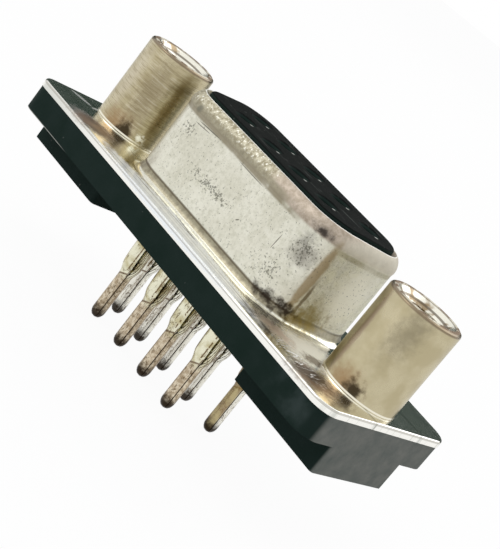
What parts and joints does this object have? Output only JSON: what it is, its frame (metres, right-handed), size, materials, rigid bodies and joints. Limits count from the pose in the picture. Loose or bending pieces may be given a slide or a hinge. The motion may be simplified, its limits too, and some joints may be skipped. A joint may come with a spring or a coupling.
{
  "type": "d-sub connector",
  "caption": "Female D-subminiature board connector: drawn metal hood on a flange, black insulator with sockets, threaded standoffs, feet and straight rolled tails.",
  "frame": {"origin": "centre of the flange's front face, midway between the two fixing holes", "axes": "+X along the long side, +Z out of the hood towards the mating plug, -Y the narrow side of the D"},
  "size_m": [0.031, 0.0122, 0.0151],
  "materials": {
    "nickel_sheet": "bright nickel plate",
    "black_insulator": "satin moulded",
    "nickel_screwlock": "nickel plate over turned brass",
    "tinned_contact": "dull tin plate"
  },
  "bodies": {
    "root": {"shell": "nickel_sheet", "front_insulator": "black_insulator", "rear_insulator": "black_insulator", "screwlock_left": "nickel_screwlock", "screwlock_right": "nickel_screwlock", "contact_1": "tinned_contact", "contact_2": "tinned_contact", "contact_3": "tinned_contact", "contact_4": "tinned_contact", "contact_5": "tinned_contact", "contact_6": "tinned_contact", "contact_7": "tinned_contact", "contact_8": "tinned_contact", "contact_9": "tinned_contact"}
  },
  "joints": []
}
